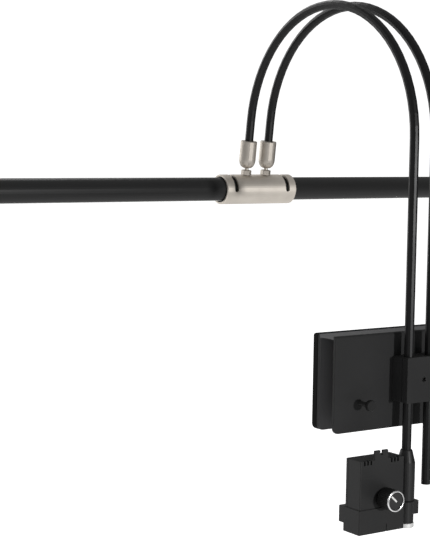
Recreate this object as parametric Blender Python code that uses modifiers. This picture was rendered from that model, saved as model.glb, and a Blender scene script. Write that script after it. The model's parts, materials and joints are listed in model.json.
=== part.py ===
"""Picture light on a pair of goosenecks that hooks over a picture frame or an exhibition panel.

Frame of the part: the origin is the centre of the bracket's saddle, the face that rests on the
panel's top edge. +Z is up, +X runs along the light bar and +Y points from the clamp side of the
panel to the lit side. Every size is in metres.
"""

import math

import bmesh
import bpy
from mathutils import Matrix, Vector

MM = 0.001

# ---------------------------------------------------------------- driving dimensions
SEAT_GAP = 0.3 * MM  # air between pieces that rest on each other

# Bracket: one folded channel that hangs over the panel, with a plate bonded to its far side
PLATE_THICKNESS = 3.2 * MM
PANEL_GAP = 20.5 * MM
BRACKET_HALF_LENGTH = 94.8 * MM
BRACKET_DROP = 91.85 * MM  # from the saddle to the plates' lower edges
BRACKET_CORNER_RADIUS = 6.0 * MM
BRACKET_FOLD_RADIUS = 2.2 * MM
BRACKET_INNER_RADIUS = 1.4 * MM
BRACKET_EDGE = 0.4 * MM
PLATE_OUTER_Y = PANEL_GAP / 2 + PLATE_THICKNESS
FACE_PLATE_THICKNESS = 7.1 * MM
FACE_PLATE_CORNER = 2.4 * MM

# Arms: two bent tubes, straight down through the clamp
TUBE_RADIUS = 4.75 * MM
TUBE_BORE_RADIUS = 3.6 * MM
ARM_X = 13.45 * MM
ARM_Y = -27.45 * MM
ARCH_RADIUS = 137.6 * MM
ARCH_CENTRE_Z = 193.25 * MM
ARCH_SEGMENTS = 34
RIGHT_ARM_FOOT_Z = -150.15 * MM

# Light bar and its hub
BAR_Y = 256.75 * MM
BAR_Z = 134.15 * MM
BAR_RADIUS = 13.4 * MM
BAR_WALL = 1.6 * MM
BAR_HALF_LENGTH = 381.0 * MM
END_CAP_THICKNESS = 3.0 * MM
APERTURE_HALF_WIDTH = 5.6 * MM
LENS_RECESS = 0.6 * MM
HUB_HALF_LENGTH = 47.7 * MM
HUB_RADIUS = 16.75 * MM
HUB_BORE_RADIUS = 14.6 * MM
BUSH_LENGTH = 8.0 * MM
SLOT_X = 35.4 * MM
SLOT_WIDTH = 5.3 * MM
STOP_PIN_RADIUS = 1.4 * MM

# Fittings between the hub and the arms, measured up the leaning axis from the bar's axis
NUT_FOOT = 16.3 * MM
NUT_HEIGHT = 5.6 * MM
NUT_ACROSS_CORNERS = 12.0 * MM
NECK_RADIUS = 2.3 * MM
NECK_BORE_RADIUS = 1.5 * MM
FERRULE_FOOT = 24.4 * MM
FERRULE_HEIGHT = 30.6 * MM
FERRULE_RADIUS = 9.3 * MM
TUBE_SOCKET_DEPTH = 16.0 * MM

# Clamp block on the bracket's near plate
CLAMP_HALF_WIDTH = 21.6 * MM
CLAMP_TOP_Z = -19.9 * MM
CLAMP_FOOT_Z = -64.9 * MM
CLAMP_FRONT_Y = -35.45 * MM
CLAMP_SEAM = 0.6 * MM
CLAMP_BORE_CLEARANCE = 0.25 * MM
CLAMP_MIDDLE_Z = (CLAMP_TOP_Z + CLAMP_FOOT_Z) / 2
BASE_SCREW_UPPER_Z = CLAMP_TOP_Z - 8.0 * MM
BASE_SCREW_LOWER_Z = CLAMP_FOOT_Z + 8.0 * MM

# Thumbscrews
THUMB_X = 62.0 * MM
THUMB_Z = -63.95 * MM
THUMB_HEAD_RADIUS = 5.5 * MM
THUMB_HEAD_THICKNESS = 4.2 * MM
THUMB_PROJECTION = 17.5 * MM  # from the plate to the head's front face
THREAD_RADIUS = 2.4 * MM
PAD_RADIUS = 5.0 * MM
PAD_THICKNESS = 1.4 * MM

# Dimmer, clipped beside the left arm's foot
BOX_LEFT_X = -79.9 * MM
BOX_RIGHT_X = -24.8 * MM
BOX_FRONT_Y = -37.45 * MM
BOX_BACK_Y = -14.55 * MM
BOX_TOP_Z = -115.75 * MM
BOX_FOOT_Z = -184.75 * MM
BOX_WALL = 1.8 * MM
BACK_COVER_DEPTH = 4.5 * MM
TAB_X = -53.8 * MM
TAB_WIDTH = 16.3 * MM
TAB_TOP_Z = -106.85 * MM
HOLDER_TOP_Z = -163.55 * MM
HOLDER_FOOT_Z = -187.55 * MM
HOLDER_PROUD = 0.9 * MM  # how far the holder stands out past the box
HOLDER_NOTCH_X = -47.0 * MM
FLANGE_BACK_Y = -7.25 * MM
FLANGE_FOOT_Z = -179.75 * MM
EAR_RIGHT_X = 1.9 * MM
EAR_FOOT_Z = -177.95 * MM
JACK_HOUSING_RADIUS = 8.7 * MM
JACK_BORE_RADIUS = 6.6 * MM
GLAND_TOP_Z = -112.15 * MM
BARREL_RADIUS = 9.05 * MM
BARREL_FOOT_Z = -187.15 * MM
JACK_RING_RADIUS = 8.1 * MM
JACK_RING_FOOT_Z = -189.65 * MM
LEFT_ARM_FOOT_Z = -127.15 * MM
KNOB_X = -49.3 * MM
KNOB_Z = -153.85 * MM
KNOB_RADIUS = 10.5 * MM
KNOB_LENGTH = 18.0 * MM
SHAFT_RADIUS = 3.0 * MM
POINTER_ANGLE = math.radians(-48)

AXIS_Z = Vector((0, 0, 1))

MATERIALS = {
    "black_powder_coat": ((0.022, 0.022, 0.023), 0.48, 0.3),
    "matt_black_coat": ((0.008, 0.008, 0.008), 0.7, 0.0),
    "black_tube_enamel": ((0.018, 0.018, 0.019), 0.38, 0.4),
    "black_moulded_plastic": ((0.025, 0.025, 0.026), 0.55, 0.0),
    "satin_nickel": ((0.62, 0.58, 0.52), 0.32, 1.0),
    "bright_steel": ((0.78, 0.78, 0.77), 0.22, 1.0),
    "bare_aluminium": ((0.75, 0.75, 0.76), 0.4, 1.0),
    "lens_acrylic": ((0.9, 0.9, 0.88), 0.35, 0.0),
    "white_print": ((0.88, 0.88, 0.86), 0.45, 0.0),
    "circuit_board": ((0.05, 0.2, 0.08), 0.5, 0.0),
    "lead_jacket": ((0.02, 0.02, 0.02), 0.6, 0.0),
}


# ---------------------------------------------------------------- scene, materials, placing
def clear_scene():
    for obj in list(bpy.data.objects):
        bpy.data.objects.remove(obj, do_unlink=True)


def new_collection(name):
    collection = bpy.data.collections.new(name)
    bpy.context.scene.collection.children.link(collection)
    return collection


def make_materials():
    made = {}
    for name, (colour, roughness, metallic) in MATERIALS.items():
        material = bpy.data.materials.new(name)
        material.use_nodes = True
        shader = material.node_tree.nodes["Principled BSDF"]
        shader.inputs["Base Color"].default_value = (*colour, 1.0)
        shader.inputs["Roughness"].default_value = roughness
        shader.inputs["Metallic"].default_value = metallic
        made[name] = material
    return made


clear_scene()
PARTS = new_collection("picture_light")
CUTTERS = new_collection("picture_light_cutters")
FINISH = make_materials()


def pivot(name, location, parent=None, rotation=(0.0, 0.0, 0.0)):
    """An empty on a joint's axis, which carries the pieces that move with that joint."""
    empty = bpy.data.objects.new(name, None)
    empty.location = location
    empty.rotation_euler = rotation
    empty.parent = parent
    PARTS.objects.link(empty)
    return empty


def place(name, mesh, finish, parent=None, location=(0, 0, 0), rotation=(0.0, 0.0, 0.0)):
    """Adds a part. Its location is in its parent's frame."""
    obj = bpy.data.objects.new(name, mesh)
    obj.location = location
    obj.rotation_euler = rotation
    obj.parent = parent
    mesh.materials.append(FINISH[finish])
    PARTS.objects.link(obj)
    return obj


def make_cutter(name, mesh):
    obj = bpy.data.objects.new(name, mesh)
    CUTTERS.objects.link(obj)
    obj.hide_render = True
    obj.display_type = "WIRE"
    return obj


def cut(obj, cutters, operation="DIFFERENCE"):
    for cutter in cutters:
        step = obj.modifiers.new(operation.lower() + "_" + cutter.name, "BOOLEAN")
        step.operation = operation
        step.solver = "EXACT"
        step.object = cutter


def shade(mesh):
    mesh.shade_smooth()
    mesh.set_sharp_from_angle(angle=math.radians(35))


# ---------------------------------------------------------------- shapes
def mesh_of(bm, name):
    bmesh.ops.recalc_face_normals(bm, faces=bm.faces)
    mesh = bpy.data.meshes.new(name)
    bm.to_mesh(mesh)
    bm.free()
    shade(mesh)
    return mesh


def block_bmesh(low, high):
    bm = bmesh.new()
    bmesh.ops.create_cube(bm, size=1.0)
    size = Vector(high) - Vector(low)
    middle = (Vector(high) + Vector(low)) / 2
    for vert in bm.verts:
        vert.co = Vector((vert.co.x * size.x, vert.co.y * size.y, vert.co.z * size.z)) + middle
    return bm


def round_edges(bm, chosen, radius, segments):
    """Rounds the edges whose two ends pass the chosen test."""
    edges = [e for e in bm.edges if chosen(e.verts[0].co, e.verts[1].co)]
    bmesh.ops.bevel(bm, geom=edges, offset=radius, segments=segments, profile=0.5, affect="EDGES")


def along(axis):
    """A test for edges that run along axis 0, 1 or 2."""
    def chosen(a, b):
        others = [i for i in range(3) if i != axis]
        return all(abs(a[i] - b[i]) < 1e-7 for i in others)
    return chosen


def block(name, low, high, edge_axis=None, radius=0.0, segments=3):
    bm = block_bmesh(low, high)
    if edge_axis is not None:
        round_edges(bm, along(edge_axis), radius, segments)
    return mesh_of(bm, name)


def rod(name, start, end, radius, segments=24, end_radius=None):
    """A cylinder, or a cone frustum, between two points."""
    start, end = Vector(start), Vector(end)
    bm = bmesh.new()
    bmesh.ops.create_cone(bm, cap_ends=True, segments=segments, radius1=radius,
                          radius2=radius if end_radius is None else end_radius,
                          depth=(end - start).length)
    turn = AXIS_Z.rotation_difference((end - start).normalized()).to_matrix().to_4x4()
    bmesh.ops.transform(bm, matrix=Matrix.Translation((start + end) / 2) @ turn, verts=bm.verts)
    return mesh_of(bm, name)


def turned(name, profile, finish, parent=None, location=(0, 0, 0), rotation=(0.0, 0.0, 0.0),
           segments=32):
    """A piece turned about Z from (radius, height) points, down its outside first.

    A profile that starts on the axis is open; any other is closed into a ring.
    """
    points = [Vector((radius, 0.0, height)) for radius, height in profile]
    edges = [(i, i + 1) for i in range(len(points) - 1)]
    if profile[0][0] > 0:
        edges.append((len(points) - 1, 0))
    mesh = bpy.data.meshes.new(name)
    mesh.from_pydata(points, edges, [])
    obj = place(name, mesh, finish, parent, location, rotation)
    screw = obj.modifiers.new("turn", "SCREW")
    screw.axis = "Z"
    screw.angle = math.tau
    screw.steps = segments
    screw.render_steps = segments
    screw.use_merge_vertices = True
    screw.merge_threshold = 0.00001
    screw.use_smooth_shade = True
    return obj


def cutter_rod(name, start, end, radius, segments=24, end_radius=None):
    return make_cutter(name, rod(name, start, end, radius, segments, end_radius))


def cutter_block(name, low, high, edge_axis=None, radius=0.0):
    return make_cutter(name, block(name, low, high, edge_axis, radius))


def tube_mesh(name, route, radius, resolution=4):
    """A solid round bar along a route, made a mesh with welded caps so that it can be cut."""
    curve = bpy.data.curves.new(name, "CURVE")
    curve.dimensions = "3D"
    curve.bevel_depth = radius
    curve.bevel_resolution = resolution
    curve.use_fill_caps = True
    spline = curve.splines.new("POLY")
    spline.points.add(len(route) - 1)
    for point, place_on_route in zip(spline.points, route):
        point.co = (*place_on_route, 1.0)
    source = bpy.data.objects.new(name + "_curve", curve)
    bpy.context.scene.collection.objects.link(source)
    graph = bpy.context.evaluated_depsgraph_get()
    mesh = bpy.data.meshes.new_from_object(source.evaluated_get(graph))
    bpy.data.objects.remove(source, do_unlink=True)
    bm = bmesh.new()
    bm.from_mesh(mesh)
    bmesh.ops.remove_doubles(bm, verts=bm.verts, dist=1e-6)
    bm.to_mesh(mesh)
    bm.free()
    mesh.name = name
    shade(mesh)
    return mesh


# ---------------------------------------------------------------- bracket
def make_bracket():
    low = (-BRACKET_HALF_LENGTH, -PLATE_OUTER_Y, -BRACKET_DROP)
    high = (BRACKET_HALF_LENGTH, PLATE_OUTER_Y, PLATE_THICKNESS)
    bm = block_bmesh(low, high)
    middle = (low[2] + high[2]) / 2

    def lower_corner(a, b):
        return along(1)(a, b) and a.z < middle

    def fold(a, b):
        return along(0)(a, b) and a.z > middle

    round_edges(bm, lower_corner, BRACKET_CORNER_RADIUS, 5)
    round_edges(bm, fold, BRACKET_FOLD_RADIUS, 3)
    bracket = place("mounting_bracket", mesh_of(bm, "mounting_bracket"), "black_powder_coat")
    reach = 1.2 * BRACKET_HALF_LENGTH
    gap = block_bmesh((-reach, -PANEL_GAP / 2, -1.2 * BRACKET_DROP), (reach, PANEL_GAP / 2, 0.0))
    round_edges(gap, fold, BRACKET_INNER_RADIUS, 3)
    cut(bracket, [make_cutter("panel_gap", mesh_of(gap, "panel_gap"))])
    edge = bracket.modifiers.new("edge", "BEVEL")
    edge.width = BRACKET_EDGE
    edge.segments = 1
    edge.limit_method = "ANGLE"
    edge.angle_limit = math.radians(50)
    holes = []
    for side, x in (("left", -THUMB_X), ("right", THUMB_X)):
        holes.append(cutter_rod(f"thumb_hole_{side}", (x, -PLATE_OUTER_Y - 5 * MM, THUMB_Z),
                                (x, 0, THUMB_Z), THREAD_RADIUS + 0.25 * MM, 16))
        holes.append(cutter_rod(f"pad_recess_{side}", (x, 0, THUMB_Z),
                                (x, -PANEL_GAP / 2 - PAD_THICKNESS - SEAT_GAP, THUMB_Z),
                                PAD_RADIUS + 0.3 * MM, 24))
    for side, z in (("upper", BASE_SCREW_UPPER_Z), ("lower", BASE_SCREW_LOWER_Z)):
        holes.append(cutter_rod(f"base_screw_hole_{side}", (0, -PLATE_OUTER_Y - 5 * MM, z),
                                (0, 0, z), 2.0 * MM + SEAT_GAP, 16))
        sink_foot = -PANEL_GAP / 2 - 2.95 * MM
        sink_mouth = -PANEL_GAP / 2 + 1.0 * MM
        foot_radius = 2.0 * MM + SEAT_GAP
        holes.append(cutter_rod(f"base_screw_sink_{side}", (0, sink_foot, z), (0, sink_mouth, z),
                                foot_radius, 16, foot_radius + sink_mouth - sink_foot))
    cut(bracket, holes)


def make_face_plate():
    """The matt plate on the far side of the channel, which faces the lit side."""
    near_y = PLATE_OUTER_Y + SEAT_GAP
    bm = block_bmesh((-BRACKET_HALF_LENGTH, near_y, -BRACKET_DROP),
                     (BRACKET_HALF_LENGTH, near_y + FACE_PLATE_THICKNESS, PLATE_THICKNESS))

    def lower_corner(a, b):
        return along(1)(a, b) and a.z < 0

    def upper_corner(a, b):
        return along(1)(a, b) and a.z > 0

    round_edges(bm, lower_corner, BRACKET_CORNER_RADIUS, 5)
    round_edges(bm, upper_corner, FACE_PLATE_CORNER, 3)
    plate = place("face_plate", mesh_of(bm, "face_plate"), "matt_black_coat")
    edge = plate.modifiers.new("edge", "BEVEL")
    edge.width = 0.6 * MM
    edge.segments = 2
    edge.limit_method = "ANGLE"
    edge.angle_limit = math.radians(50)


# ---------------------------------------------------------------- clamp block
def arm_bores(name, radius):
    """The two round channels that the arms slide in."""
    bores = []
    for side, x in (("left", -ARM_X), ("right", ARM_X)):
        bores.append(cutter_rod(f"{name}_{side}", (x, ARM_Y, CLAMP_FOOT_Z - 5 * MM),
                                (x, ARM_Y, CLAMP_TOP_Z + 5 * MM), radius, 28))
    return bores


def make_clamp():
    bore_radius = TUBE_RADIUS + CLAMP_BORE_CLEARANCE
    base_mesh = block("clamp_base",
                      (-CLAMP_HALF_WIDTH, ARM_Y + CLAMP_SEAM / 2, CLAMP_FOOT_Z),
                      (CLAMP_HALF_WIDTH, -PLATE_OUTER_Y - SEAT_GAP, CLAMP_TOP_Z), 1, 1.0 * MM, 2)
    base = place("clamp_base", base_mesh, "black_powder_coat")
    cap_mesh = block("clamp_cap", (-CLAMP_HALF_WIDTH, CLAMP_FRONT_Y, CLAMP_FOOT_Z),
                     (CLAMP_HALF_WIDTH, ARM_Y - CLAMP_SEAM / 2, CLAMP_TOP_Z), 1, 1.0 * MM, 2)
    cap = place("clamp_cap", cap_mesh, "black_powder_coat")
    base_cuts = arm_bores("base_bore", bore_radius)
    for side, z in (("upper", BASE_SCREW_UPPER_Z), ("lower", BASE_SCREW_LOWER_Z)):
        base_cuts.append(cutter_rod(f"base_tapping_{side}", (0, -PLATE_OUTER_Y + 1 * MM, z),
                                    (0, -PLATE_OUTER_Y - 9.0 * MM, z), 2.0 * MM + SEAT_GAP, 16))
    clamp_hole_end = -PLATE_OUTER_Y - 2.0 * MM
    base_cuts.append(cutter_rod("clamp_tapping", (0, ARM_Y - 1 * MM, CLAMP_MIDDLE_Z),
                                (0, clamp_hole_end, CLAMP_MIDDLE_Z), 2.5 * MM + SEAT_GAP, 16))
    cut(base, base_cuts)
    cap_cuts = arm_bores("cap_bore", bore_radius)
    cap_cuts.append(cutter_rod("clamp_clear_hole", (0, ARM_Y + 1 * MM, CLAMP_MIDDLE_Z),
                               (0, CLAMP_FRONT_Y - 1 * MM, CLAMP_MIDDLE_Z),
                               2.5 * MM + SEAT_GAP, 16))
    cap_cuts.append(cutter_rod("clamp_counterbore", (0, CLAMP_FRONT_Y + 3.6 * MM, CLAMP_MIDDLE_Z),
                               (0, CLAMP_FRONT_Y - 1 * MM, CLAMP_MIDDLE_Z), 4.3 * MM, 24))
    cut(cap, cap_cuts)
    head, shank, length = 4.0 * MM, 2.5 * MM, 16.0 * MM
    head_depth, socket_radius, socket_depth = 3.3 * MM, 1.7 * MM, 2.0 * MM
    turned("clamp_screw",
           [(0, -socket_depth), (socket_radius, -socket_depth), (socket_radius, 0), (head, 0),
            (head, -head_depth), (shank, -head_depth), (shank, -length), (0, -length)],
           "black_powder_coat", location=(0, CLAMP_FRONT_Y, CLAMP_MIDDLE_Z),
           rotation=(math.radians(90), 0, 0), segments=24)
    for side, z in (("upper", BASE_SCREW_UPPER_Z), ("lower", BASE_SCREW_LOWER_Z)):
        turned(f"base_screw_{side}",
               [(0, 0), (4.4 * MM, 0), (2.0 * MM, -2.4 * MM), (2.0 * MM, -11.0 * MM),
                (0, -11.0 * MM)],
               "bright_steel", location=(0, -PANEL_GAP / 2 - 0.4 * MM, z),
               rotation=(math.radians(-90), 0, 0), segments=16)


# ---------------------------------------------------------------- thumbscrews
def make_thumbscrew(side, x):
    """The screw turns about Y; its pad, which doesn't turn, presses the panel."""
    slide = pivot(f"thumb_pad_slide_{side}", (x, -PANEL_GAP / 2, THUMB_Z))
    face_y = -PLATE_OUTER_Y - THUMB_PROJECTION
    turned(f"pressure_pad_{side}",
           [(0, PAD_THICKNESS), (PAD_RADIUS, PAD_THICKNESS), (PAD_RADIUS, 0), (0, 0)],
           "black_moulded_plastic", slide, location=(0, -0.2 * MM - PAD_THICKNESS, 0),
           rotation=(math.radians(-90), 0, 0), segments=24)
    turn = pivot(f"thumb_turn_{side}", (0, 0, 0), slide)
    tip = (-PANEL_GAP / 2 - 0.2 * MM - PAD_THICKNESS - SEAT_GAP) - face_y
    head, shaft = THUMB_HEAD_RADIUS, THREAD_RADIUS
    thick, boss = THUMB_HEAD_THICKNESS, 3.6 * MM
    dish = 0.5 * MM
    turned(f"thumbscrew_{side}",
           [(0, tip), (shaft, tip), (shaft, thick + 1.5 * MM), (boss, thick + 1.0 * MM),
            (boss, thick), (head - 0.4 * MM, thick), (head, thick - 0.5 * MM),
            (head, 0.5 * MM), (head - 0.5 * MM, 0), (3.8 * MM, 0), (3.4 * MM, dish), (0, dish)],
           "black_powder_coat", turn, location=(0, face_y + PANEL_GAP / 2, 0),
           rotation=(math.radians(-90), 0, 0), segments=24)


# ---------------------------------------------------------------- arms
def arch_end_angle():
    """The angle at which the arch's tangent points at the bar's axis."""
    centre_y = ARM_Y + ARCH_RADIUS
    reach = math.hypot(BAR_Y - centre_y, BAR_Z - ARCH_CENTRE_Z)
    return math.atan2(BAR_Z - ARCH_CENTRE_Z, BAR_Y - centre_y) + math.acos(ARCH_RADIUS / reach)


LEAN = arch_end_angle()


def up_the_lean(distance):
    """A point in the arms' plane, this far up the leaning axis from the bar's axis."""
    return (BAR_Y - math.sin(LEAN) * distance, BAR_Z + math.cos(LEAN) * distance)


def arm_route(x, foot_z, top_distance):
    """From the straight foot, over the arch, to the leaning end in the ferrule."""
    centre_y = ARM_Y + ARCH_RADIUS
    route = [(x, ARM_Y, foot_z)]
    for i in range(ARCH_SEGMENTS + 1):
        angle = math.pi + (LEAN - math.pi) * i / ARCH_SEGMENTS
        route.append((x, centre_y + ARCH_RADIUS * math.cos(angle),
                      ARCH_CENTRE_Z + ARCH_RADIUS * math.sin(angle)))
    route.append((x, *up_the_lean(top_distance)))
    return route


def extended(route, amount):
    """The same route made longer at both ends, for a bore that runs right through."""
    first = Vector(route[0]) + (Vector(route[0]) - Vector(route[1])).normalized() * amount
    last = Vector(route[-1]) + (Vector(route[-1]) - Vector(route[-2])).normalized() * amount
    return [tuple(first)] + route[1:-1] + [tuple(last)]


def make_arm(side, x, foot_z, slide):
    top = FERRULE_FOOT + FERRULE_HEIGHT - TUBE_SOCKET_DEPTH
    route = arm_route(x, foot_z, top)
    arm = place(f"{side}_arm", tube_mesh(f"{side}_arm", route, TUBE_RADIUS), "black_tube_enamel")
    arm.parent = slide
    arm.matrix_parent_inverse = Matrix.Translation(-slide.location)
    bore = tube_mesh(f"{side}_arm_bore", extended(route, 3 * MM), TUBE_BORE_RADIUS, 2)
    cut(arm, [make_cutter(f"{side}_arm_bore", bore)])


def on_lean(x, distance):
    """Location and rotation that stand a Z-up piece on the leaning axis."""
    y, z = up_the_lean(distance)
    return (x, y, z), (LEAN, 0.0, 0.0)


def make_fittings(side, x, slide):
    offset = Vector(slide.location)
    foot, tilt = on_lean(x, FERRULE_FOOT)
    r, h = FERRULE_RADIUS, FERRULE_HEIGHT
    socket = TUBE_RADIUS + SEAT_GAP
    socket_floor = h - TUBE_SOCKET_DEPTH - SEAT_GAP
    neck_hole = NECK_RADIUS + SEAT_GAP
    dome_height, dome_steps = 9.5 * MM, 6
    nose = neck_hole + 0.6 * MM
    dome = []
    for i in range(1, dome_steps + 1):
        angle = math.radians(90) * i / dome_steps
        dome.append((nose + (r - nose) * math.cos(angle), dome_height * (1 - math.sin(angle))))
    profile = [(socket, h), (r - 0.8 * MM, h), (r, h - 0.8 * MM), (r, dome_height)]
    profile += dome
    profile += [(neck_hole, 0.0), (neck_hole, socket_floor), (socket, socket_floor)]
    turned(f"{side}_ferrule", profile, "satin_nickel", slide, Vector(foot) - offset, tilt, 28)

    nut_foot, tilt = on_lean(x, NUT_FOOT)
    nut_mesh = rod(f"{side}_hex_nut", (0, 0, 0), (0, 0, NUT_HEIGHT), NUT_ACROSS_CORNERS / 2, 6)
    nut = place(f"{side}_hex_nut", nut_mesh, "satin_nickel", slide, Vector(nut_foot) - offset, tilt)
    bevel = nut.modifiers.new("edge", "BEVEL")
    bevel.width = 0.4 * MM
    bevel.segments = 1
    hole = cutter_rod(f"{side}_nut_hole", (0, 0, -2 * MM), (0, 0, NUT_HEIGHT + 2 * MM),
                      NECK_RADIUS + SEAT_GAP, 16)
    hole.parent = slide
    hole.location = nut.location
    hole.rotation_euler = tilt
    cut(nut, [hole])

    neck_foot, tilt = on_lean(x, 0.0)
    start, end = HUB_BORE_RADIUS - 0.9 * MM, FERRULE_FOOT + 10.0 * MM
    turned(f"{side}_neck",
           [(NECK_BORE_RADIUS, end), (NECK_RADIUS, end), (NECK_RADIUS, start),
            (NECK_BORE_RADIUS, start)],
           "satin_nickel", slide, Vector(neck_foot) - offset, tilt, 16)


def make_arm_plug(slide):
    """The plug that closes the right arm's plain lower end."""
    radius, length = TUBE_BORE_RADIUS - SEAT_GAP, 8.0 * MM
    offset = Vector(slide.location)
    turned("right_arm_plug",
           [(0, length), (radius, length), (radius, 0.0), (0, 0.0)], "black_moulded_plastic",
           slide, Vector((ARM_X, ARM_Y, RIGHT_ARM_FOOT_Z + 0.5 * MM)) - offset, segments=16)


def make_supply_lead(slide):
    """The lead inside the left arm, from the jack's barrel to the hub's neck."""
    radius = NECK_BORE_RADIUS - 0.4 * MM
    route = arm_route(-ARM_X, LEFT_ARM_FOOT_Z - 20 * MM, FERRULE_FOOT - 4.0 * MM)
    lead = place("supply_lead", tube_mesh("supply_lead", route, radius, 2), "lead_jacket")
    lead.parent = slide
    lead.matrix_parent_inverse = Matrix.Translation(-slide.location)


# ---------------------------------------------------------------- hub
def arc_slot_cutters(name, x):
    """A half-round slot over the hub's top with rounded ends, cut along the sleeve's surface."""
    inner, outer, half = HUB_BORE_RADIUS - 1.5 * MM, HUB_RADIUS + 2 * MM, SLOT_WIDTH / 2
    steps = 20
    overlap = math.radians(2)  # the band's ends reach a little into the slot's round ends
    bm = bmesh.new()
    ring = [bm.verts.new((inner, 0, -half)), bm.verts.new((outer, 0, -half)),
            bm.verts.new((outer, 0, half)), bm.verts.new((inner, 0, half))]
    section = bm.faces.new(ring)
    bmesh.ops.rotate(bm, verts=ring, cent=(0, 0, 0), matrix=Matrix.Rotation(-overlap, 3, "Z"))
    bmesh.ops.spin(bm, geom=[section], cent=(0, 0, 0), axis=(0, 0, 1),
                   angle=math.pi + 2 * overlap, steps=steps, use_duplicate=False)
    # The band turns about Z here; standing it along X takes its start to +Y and its middle up.
    turn = Matrix(((0, 0, 1, 0), (1, 0, 0, 0), (0, 1, 0, 0), (0, 0, 0, 1)))
    bmesh.ops.transform(bm, matrix=Matrix.Translation((x, BAR_Y, BAR_Z)) @ turn, verts=bm.verts)
    cutters = [make_cutter(f"{name}_band", mesh_of(bm, f"{name}_band"))]
    for end, direction in (("near", -1), ("far", 1)):
        cutters.append(cutter_rod(f"{name}_{end}_end", (x, BAR_Y + direction * inner, BAR_Z),
                                  (x, BAR_Y + direction * outer, BAR_Z), half - 0.03 * MM, 14))
    return cutters


def make_hub(slide):
    offset = Vector(slide.location)
    centre = Vector((0, BAR_Y, BAR_Z)) - offset
    half, r, bore = HUB_HALF_LENGTH, HUB_RADIUS, HUB_BORE_RADIUS
    edge = 0.7 * MM
    sleeve = turned("hub_sleeve",
                    [(bore, half), (r - edge, half), (r, half - edge), (r, edge - half),
                     (r - edge, -half), (bore, -half)],
                    "satin_nickel", slide, centre, (0, math.radians(90), 0), 48)
    cuts = arc_slot_cutters("left_slot", -SLOT_X) + arc_slot_cutters("right_slot", SLOT_X)
    for side, x in (("left", -ARM_X), ("right", ARM_X)):
        y0, z0 = up_the_lean(HUB_BORE_RADIUS - 5 * MM)
        y1, z1 = up_the_lean(HUB_RADIUS + 6 * MM)
        cuts.append(cutter_rod(f"{side}_neck_hole", (x, y0, z0), (x, y1, z1),
                               NECK_RADIUS + SEAT_GAP, 16))
        foot, tilt = on_lean(x, NUT_FOOT - SEAT_GAP)
        top = up_the_lean(NUT_FOOT + 8 * MM)
        cuts.append(cutter_rod(f"{side}_nut_seat", foot, (x, *top),
                               NUT_ACROSS_CORNERS / 2 + SEAT_GAP, 24))
    cut(sleeve, cuts)
    bush_outer, bush_inner = HUB_BORE_RADIUS - SEAT_GAP, BAR_RADIUS + 0.15 * MM
    for side, direction in (("left", -1), ("right", 1)):
        middle = Vector((direction * (HUB_HALF_LENGTH - 1.0 * MM - BUSH_LENGTH / 2), 0, 0))
        turned(f"{side}_hub_bush",
               [(bush_inner, BUSH_LENGTH / 2), (bush_outer, BUSH_LENGTH / 2),
                (bush_outer, -BUSH_LENGTH / 2), (bush_inner, -BUSH_LENGTH / 2)],
               "black_moulded_plastic", slide, centre + middle, (0, math.radians(90), 0), 36)


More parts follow.
